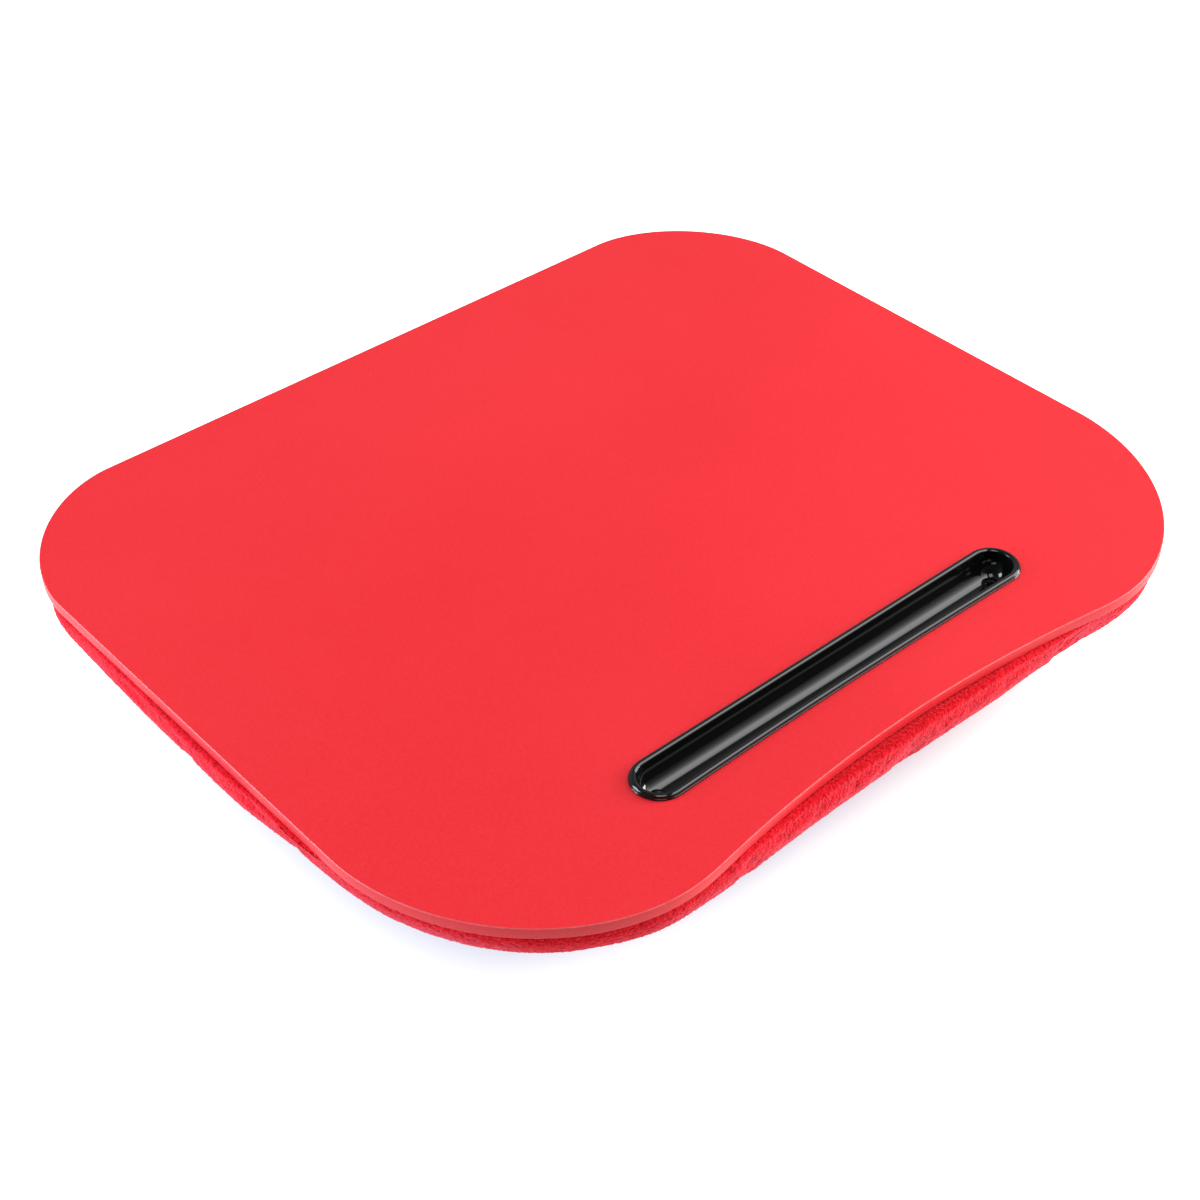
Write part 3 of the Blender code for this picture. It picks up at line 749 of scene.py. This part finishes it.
def pillow(rows_at, cols):
    """The cushion's surface at these rows of the section (0 at the rim, 1 at the flat bottom's edge), without its pile."""
    at_r = rows_at * (SIM_ROWS - 1)
    at_c = np.arange(cols) * SIM_COLS / cols
    fine_prof, _ = section(2000)
    line = outline(count=cols, **CUSHION)
    reach = np.abs(line).max(0)
    s = np.linspace(0, 1, 2000)
    inset = np.interp(rows_at, s, fine_prof[:, 0])[:, None]
    level = np.interp(rows_at, s, fine_prof[:, 1])[:, None]
    # the sides are packed full right up to the board, and the corners fall away from it in a groove
    corner = corners(line)[None]
    run = rows_at[:, None] * SECTION_LENGTH / (2.2 * MM)
    groove = corner * run * np.exp(1 - run)
    full = RIM_INSET * np.clip(inset / RIM_INSET, 0, 1) ** (2.5 - 1.5 * corner)
    inset = np.where(level > Z_UNDER - WIDEST, full, inset) + 1.2 * MM * groove
    rings = np.empty((len(rows_at), cols, 3))
    rings[:, :, :2] = line[None] * (1 - inset[:, :, None] / reach)
    rings[:, :, 2] = level - 2.0 * MM * groove
    around = np.roll(line, -1, 0) - np.roll(line, 1, 0)
    out = np.c_[around[:, 1], -around[:, 0]] / np.linalg.norm(around, axis=1)[:, None]
    out *= np.sign((out * line).sum())
    weight = (1 - np.exp(-((rows_at * SECTION_LENGTH / (6 * MM)) ** 2))) * np.clip(level[:, 0] / (20 * MM), 0, 1)
    rings[:, :, :2] += weight[:, None, None] * puffs(line)[None, :, None] * out[None]
    move = cubic(cubic(cloth_move, at_r, 0, False), at_c, 1, True)
    rings += move
    return rings


def creases(rings, rows_at):
    """Sewn-in fullness: short folds that run down from the rim seam, strongest round the corners, and slow dents further down."""
    plan = rings[:, :, :2]
    corner = np.clip((np.abs(plan[:, :, 0]) / (200 * MM)) * (np.abs(plan[:, :, 1]) / (170 * MM)) * 2.0 - 0.75, 0, 1)
    turn = np.arctan2(plan[:, :, 1], plan[:, :, 0])
    coarse = lumps(np.dstack([np.cos(turn) * 0.2, np.sin(turn) * 0.2, rings[:, :, 2] * 0.35]), 62.0, 4)
    fine = lumps(np.dstack([np.cos(turn) * 0.2, np.sin(turn) * 0.2, rings[:, :, 2] * 0.5]), 130.0, 9)
    s = rows_at[:, None] * SECTION_LENGTH
    near_rim = np.exp(-((s / (16 * MM)) ** 2)) * (1 - np.exp(-((s / (1.8 * MM)) ** 2)))
    lower = 1 - np.exp(-((s / (20 * MM)) ** 2))
    flat = np.clip(rings[:, :, 2] / (9 * MM), 0, 1)
    folds = near_rim * (0.3 + 0.6 * corner) * (0.5 * coarse + 0.35 * fine)
    dents = lower * flat * 0.6 * lumps(rings, 24.0, 2)
    return (folds + dents) * MM


class Rings:
    """A mesh built from closed rings, where each new ring has as many points as the one before, or half of them."""

    def __init__(self):
        self.points, self.heights, self.faces, self.last = [], [], [], None

    def add(self, ring, height=None):
        first, count = len(self.points), len(ring)
        self.points.extend(ring.tolist())
        self.heights.extend((height if height is not None else np.zeros(count)).tolist())
        if self.last:
            fa, na = self.last
            for i in range(count):
                j = (i + 1) % count
                if na == count:
                    self.faces.append((fa + i, fa + j, first + j, first + i))
                else:
                    a0, a1, a2 = fa + 2 * i, fa + 2 * i + 1, fa + (2 * i + 2) % na
                    self.faces.append((a0, a1, first + i))
                    self.faces.append((a1, a2, first + j, first + i))
        self.last = (first, count)

    def inwards(self, edge, step, level):
        """Rings from an edge in to its middle. level gives a ring's own levels and pile from its plan points."""
        size = float(np.abs(edge[:, :2]).max(0).min())
        girth = float(np.linalg.norm(np.diff(edge[:, :2], axis=0), axis=1).sum())
        count = self.last[1]
        k = 1.0 - step / size
        while k > 1.2 * step / size:
            if girth * k / count < 0.66 * step and count % 2 == 0 and count > 14:
                count //= 2
            plan = edge[:: len(edge) // count, :2] * k
            z, height = level(plan)
            self.add(np.c_[plan, z], height)
            k -= step / size
        self.close()

    def close(self):
        first, count = self.last
        self.faces.append(tuple(range(first, first + count)))

    def mesh(self, name, upright=None):
        """The mesh. upright says whether most of it faces up, for an open sheet or shell."""
        made = bpy.data.meshes.new(name)
        made.from_pydata(self.points, [], self.faces)
        made.attributes.new("pile", "FLOAT", "POINT").data.foreach_set("value", np.array(self.heights, np.float32))
        made.update()
        if upright is not None:
            facing = sum(p.normal.z * p.area for p in made.polygons)
            if (facing > 0) != upright:
                made.flip_normals()
        return made


def finished(name, mesh, mat, slot, *nodes):
    obj = new_object(name, mesh, mat)
    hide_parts(*nodes)
    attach(obj, "root")
    return obj


BAND = 24 * MM / SECTION_LENGTH
PILE_HEIGHT = 0.5 * MM


def thick(rings, n, h, rows_at):
    """The pile stood up on the surface, less near the rim, where the seam holds it down."""
    grow = np.clip(rows_at * SECTION_LENGTH / (1.6 * MM), 0.15, 1)[:, None]
    return rings + n * ((h - 0.55) * PILE_HEIGHT * grow)[:, :, None]


def make_fleece_side():
    """The side of the cover that shows below the board, at a fine resolution."""
    cols, rows = 2016, 36
    rows_at = np.linspace(0, BAND, rows)
    rings = pillow(rows_at, cols)
    n = normals_of(rings)
    rings = rings + n * creases(rings, rows_at)[:, :, None]
    h = pile(rings)
    fine = thick(rings, n, h, rows_at)
    fine[:, :, 2] = np.minimum(fine[:, :, 2], Z_UNDER - 0.15 * MM)
    made = Rings()
    # the cover turns in under the board at the rim seam
    flat_out = n[0] * [1, 1, 0]
    flat_out /= np.linalg.norm(flat_out, axis=1)[:, None]
    # the turned-in rings get a lowered pile value, which colours them darker: painted shade under the board
    for k in range(5, 0, -1):
        ring = rings[0] - flat_out * (k * 0.7 * MM)
        ring[:, 2] = Z_UNDER - GAP - 0.12 * MM * k
        made.add(ring, h[0] * 0.35)
    # the first rows' pile values are lowered too, so the fleece is coloured darker just below the board: painted shade
    for i in range(rows):
        made.add(fine[i], h[i] * min(1.0, 0.35 + 0.25 * i))
    mesh = made.mesh("fleece_side", False)
    obj = finished("fleece_side", mesh, FLEECE, "fleece", "cushion_cover")
    return obj


def make_fleece_underside():
    """The rest of the cover, down the lower side and in over the flat bottom to its middle."""
    cols, rows = 1008, 70
    rows_at = np.linspace(BAND - 0.5 * MM / SECTION_LENGTH, 1, rows)
    rings = pillow(rows_at, cols)
    n = normals_of(rings)
    rings = rings + n * creases(rings, rows_at)[:, :, None]
    h = pile(rings)
    low = thick(rings, n, h, rows_at)
    low[:, :, 2] = np.maximum(low[:, :, 2], (0.4 - 0.4 * h) * MM)
    made = Rings()
    for i in range(rows):
        made.add(low[i], h[i])

    def level(plan):
        here = pile(np.c_[plan, np.zeros(len(plan))][None])[0]
        return np.maximum(0.0, (0.6 - here) * 0.8 * MM), here

    made.inwards(rings[-1], 1.3 * MM, level)
    mesh = made.mesh("fleece_underside", False)
    obj = finished("fleece_underside", mesh, FLEECE, "fleece", "cushion_cover")
    return obj


Z_TROUGH_UNDER = Z_FLOOR - TROUGH_WALL
Z_PANEL = Z_UNDER - 2 * GAP - 0.5 * MM - 0.8 * MM
DIP_Z = Z_TROUGH_UNDER - 2 * GAP - 4.2 * MM - 0.8 * MM
DIP_HALF, DIP_R = SCREW_SPACING / 2 + 7 * MM, 34.0 * MM / 2 + 3.2 * MM


def dip(plan, reach=0.0):
    """How far down the trough and its bridges press the cushion's top, 0 to 1, at plan points."""
    along = np.maximum(0, np.abs(plan[:, 0]) - DIP_HALF)
    out = np.hypot(along, plan[:, 1] - TROUGH_Y) - DIP_R
    t = np.clip(1 - (out - reach + 3.0 * MM) / (8.0 * MM), 0, 1)
    return t * t * (3 - 2 * t)


def wave(plan, scale, seed):
    return lumps(np.c_[plan, np.full(len(plan), seed * 0.01)], scale, seed)


def cushion_line(inset, cols):
    line = outline(count=cols, **CUSHION)
    return line * (1 - inset / np.abs(line).max(0))


def make_top_panel():
    """The woven panel sewn in under the board. It lies on the beads, dips below the trough and is a little rumpled."""
    edge = cushion_line(RIM_INSET + 2.4 * MM + 3 * GAP, 640)
    made = Rings()

    def level(plan):
        rumple = 0.16 * MM * wave(plan, 45.0, 3) + 0.10 * MM * wave(plan, 110.0, 5)
        return Z_PANEL + 0.25 * MM + rumple - (Z_PANEL - DIP_Z) * dip(plan), None

    made.add(np.c_[edge, level(edge)[0]])
    made.inwards(edge, 2.2 * MM, level)
    mesh = made.mesh("top_panel", True)
    obj = finished("top_panel", mesh, CLOTH, "panel_cloth", "cushion_top_panel")
    solid = obj.modifiers.new("cloth", "SOLIDIFY")
    solid.thickness = 0.4 * MM
    solid.offset = 0
    return obj


def make_beads():
    """The loose filling, whose outer beads show as rounded bumps against the cover."""

    def bumps(points):
        found = np.empty(len(points))
        for i, p in enumerate(points):
            near = noise.voronoi(Vector(p) * 210.0)[0][0]
            found[i] = math.sqrt(max(0.0, 1 - min(1.0, near * 1.15) ** 2))
        return found

    cols = 560
    made = Rings()
    top = Z_PANEL - 0.7 * MM

    def upper(plan):
        return top - 1.1 * MM * (1 - bumps(np.c_[plan, np.full(len(plan), top)])) - (Z_PANEL - DIP_Z + 0.3 * MM) * dip(plan, 0.8 * MM), None

    def under(plan):
        return 3.6 * MM + 1.1 * MM * (1 - bumps(np.c_[plan, np.full(len(plan), 0.004)])), None

    # from the middle of the top out, down the side and in below, as two meshes of rings joined at the top edge
    prof, _ = section(400)
    inner = prof + [2.4 * MM + 1.2 * MM, 0.0]
    keep = inner[(inner[:, 1] < top - 0.5 * MM) & (inner[:, 1] > 4.6 * MM)]
    pick = keep[np.linspace(0, len(keep) - 1, 42).astype(int)]
    edge = cushion_line(pick[0, 0] + 0.8 * MM, cols)
    side = []
    for inset, z in pick:
        line = cushion_line(inset, cols)
        b = bumps(np.c_[line, np.full(cols, z)])
        side.append(np.c_[line * (1 - (1.1 * MM * (1 - b))[:, None] / np.linalg.norm(line, axis=1)[:, None]), np.full(cols, z)])
    made.add(np.c_[edge, np.full(cols, top)])
    first = made.last
    for ring in side:
        made.add(ring)
    made.inwards(side[-1], 2.4 * MM, under)
    made.last = first
    made.inwards(np.c_[edge, np.full(cols, top)], 2.4 * MM, upper)
    mesh = made.mesh("beads")
    work = bmesh.new()
    work.from_mesh(mesh)
    bmesh.ops.recalc_face_normals(work, faces=work.faces)
    work.to_mesh(mesh)
    work.free()
    obj = finished("beads", mesh, BEADS, "beads", "bead_filling")
    return obj


fleece_side = make_fleece_side()
fleece_underside = make_fleece_underside()
beads = make_beads()
top_panel = make_top_panel()

# ------------------------------------------------------------------ CAD nodes that stay
for node, mat in (
    ("trough_screw_left", STEEL),
    ("trough_screw_right", STEEL),
    ("trough_clamp_left", CLAMP),
    ("trough_clamp_right", CLAMP),
    ("mounting_tape_left", TAPE),
    ("mounting_tape_right", TAPE),
    ("mounting_tape_back", TAPE),
    ("mounting_tape_front", TAPE),
):
    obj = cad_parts[node]
    if not obj.material_slots:
        obj.data.materials.append(mat)
    for slot in obj.material_slots:
        slot.material = mat


# ------------------------------------------------------------------ floor and light
FLOOR_NEAR, FLOOR_FAR = 1.06, 2.0


def make_floor():
    """A white sweep whose glow is painted light, as from a lit table: brighter beside and behind the tray than in front
    of it.
    """
    bpy.ops.mesh.primitive_plane_add(size=8.0, location=(0, 0, -0.0002))
    floor = bpy.context.object
    floor.name = "floor"
    n = Nodes("floor_white")
    n.set(Roughness=0.7, Specular_IOR_Level=0.0)
    n.shader.inputs["Base Color"].default_value = (0.12, 0.12, 0.12, 1.0)
    split = n.tree.nodes.new("ShaderNodeSeparateXYZ")
    unit = n.tree.nodes.new("ShaderNodeVectorMath")
    unit.operation = "NORMALIZE"
    n.link(n.place, unit.inputs[0])
    n.link(unit.outputs[0], split.inputs[0])
    x, y = split.outputs[0], split.outputs[1]
    ahead = n.math("ADD", n.math("MULTIPLY", x, -0.654), n.math("MULTIPLY", y, -0.757))
    glow = n.spread(ahead, -0.1, 0.3, FLOOR_FAR, FLOOR_NEAR)
    # painted blue light: the glow turns bluish far off to the left
    tint = n.mix(n.spread(x, -0.95, -0.6), (0.86, 0.93, 1.0), (1.0, 1.0, 1.0))
    # painted shadow under the tray's edge, a little blue on the left, and a little pink on the right as painted bounce
    # light from the red cushion
    place = n.tree.nodes.new("ShaderNodeSeparateXYZ")
    n.link(n.place, place.inputs[0])
    cubed = [
        n.math("POWER", n.math("MULTIPLY", n.math("ABSOLUTE", place.outputs[k]), 1 / half), 3.0)
        for k, half in ((0, 200 * MM), (1, 167 * MM))
    ]
    under = n.math("POWER", n.math("ADD", cubed[0], cubed[1]), 1 / 3)
    side = n.math("ADD", n.math("MULTIPLY", place.outputs[0], 0.757), n.math("MULTIPLY", place.outputs[1], -0.654))
    shade = n.mix(n.spread(side, 0.03, 0.14), (0.52, 0.58, 0.71), (0.66, 0.56, 0.6))
    under = n.math("ADD", under, n.spread(side, -0.11, -0.05, -0.018, -0.05))
    under = n.math("ADD", under, n.spread(side, -0.04, 0.07, 0.0, 0.043))
    tint = n.mix(n.spread(under, 0.82, 0.93), shade, tint)
    # painted shade: the glow is dimmer in front of the tray
    front = n.math("ADD", n.math("MULTIPLY", place.outputs[0], -0.654), n.math("MULTIPLY", place.outputs[1], -0.757))
    glow = n.math("MULTIPLY", glow, n.spread(front, 0.35, 1.3, 1.0, 0.55))
    n.link(tint, n.shader.inputs["Emission Color"])
    n.link(glow, n.shader.inputs["Emission Strength"])
    floor.data.materials.append(n.mat)


def area(name, towards, distance, size, power, aim=(0, -0.03, 0.04), size_y=None, color=(1, 1, 1)):
    data = bpy.data.lights.new(name, "AREA")
    data.shape = "RECTANGLE" if size_y else "SQUARE"
    data.size = size
    if size_y:
        data.size_y = size_y
    data.energy = power
    data.color = color
    obj = bpy.data.objects.new(name, data)
    scene.collection.objects.link(obj)
    way = Vector(towards).normalized()
    obj.location = Vector(aim) + way * distance
    obj.rotation_euler = way.to_track_quat("Z", "Y").to_euler()
    return obj


def make_world():
    """Dim overall light, a little brighter low down at the back and darker in front."""
    world = bpy.data.worlds.new("studio")
    world.use_nodes = True
    tree = world.node_tree
    sky = tree.nodes["Background"]
    sky.inputs["Color"].default_value = (1.0, 1.0, 1.0, 1.0)
    place = tree.nodes.new("ShaderNodeTexCoord").outputs["Generated"]
    split = tree.nodes.new("ShaderNodeSeparateXYZ")
    tree.links.new(place, split.inputs[0])
    ahead = tree.nodes.new("ShaderNodeVectorMath")
    ahead.operation = "DOT_PRODUCT"
    ahead.inputs[1].default_value = (-0.654, -0.757, 0.0)
    tree.links.new(place, ahead.inputs[0])

    def spread(value, low, high, to_low, to_high):
        n = tree.nodes.new("ShaderNodeMapRange")
        for name, number in (("From Min", low), ("From Max", high), ("To Min", to_low), ("To Max", to_high)):
            n.inputs[name].default_value = number
        tree.links.new(value, n.inputs["Value"])
        return n.outputs["Result"]

    both = tree.nodes.new("ShaderNodeMath")
    both.operation = "MULTIPLY"
    tree.links.new(spread(split.outputs[2], 0.62, 0.8, 0.36, 0.16), both.inputs[0])
    tree.links.new(spread(ahead.outputs["Value"], -0.2, 0.6, 1.0, 0.2), both.inputs[1])
    tree.links.new(both.outputs[0], sky.inputs["Strength"])
    scene.world = world


def falling_off(light):
    """A softbox that is brightest in the middle and fades slowly towards its front side."""
    data = light.data
    data.use_nodes = True
    tree = data.node_tree
    emission = next(n for n in tree.nodes if n.type == "EMISSION")
    split = tree.nodes.new("ShaderNodeSeparateXYZ")
    tree.links.new(tree.nodes.new("ShaderNodeNewGeometry").outputs["Parametric"], split.inputs[0])

    def join(operation, a, b):
        n = tree.nodes.new("ShaderNodeMath")
        n.operation = operation
        for i, value in enumerate((a, b)):
            if isinstance(value, float):
                n.inputs[i].default_value = value
            else:
                tree.links.new(value, n.inputs[i])
        return n.outputs[0]

    # how far across the box, along the direction that the fading follows
    along = join("MULTIPLY", join("SUBTRACT", split.outputs[0], 0.5 - 0.57 / data.size), 1.11 * data.size / 2.042)
    up = join("MULTIPLY", join("SUBTRACT", split.outputs[1], 0.5 - 0.53 / data.size_y), 0.79 * data.size_y / 2.042)
    ramp = tree.nodes.new("ShaderNodeValToRGB")
    tree.links.new(join("ADD", along, up), ramp.inputs["Fac"])
    stops = ((0.0, 0.03), (0.182, 0.1), (0.327, 0.28), (0.436, 0.54), (0.527, 0.92), (0.618, 1.0), (0.8, 0.86), (0.873, 0.72), (0.927, 0.35), (0.964, 0.0))
    marks = ramp.color_ramp.elements
    marks[-1].position = stops[-1][0]
    for at, value in stops[1:-1]:
        marks.new(at)
    for mark, (at, value) in zip(marks, stops):
        mark.color = (value, value, value, 1.0)
    tree.links.new(ramp.outputs["Color"], emission.inputs["Strength"])


make_floor()
make_world()
falling_off(area("key", (0.563, -0.29, 0.774), 1.5, 1.3, 21.3, aim=(0.0, -0.123, 0.045), size_y=1.15))
area("top", (-0.1, -0.2, 0.97), 1.5, 0.45, 2.2)
area("behind", (-0.5, 0.5, 0.7), 1.5, 0.55, 7.6, size_y=0.45, color=(0.95, 0.98, 1.0))
area("right", (0.88, -0.46, 0.24), 1.5, 0.8, 24, size_y=0.6)
area("left", (-0.85, 0.58, 0.12), 1.5, 0.7, 24.0, size_y=0.5, color=(0.64, 0.84, 1.0))
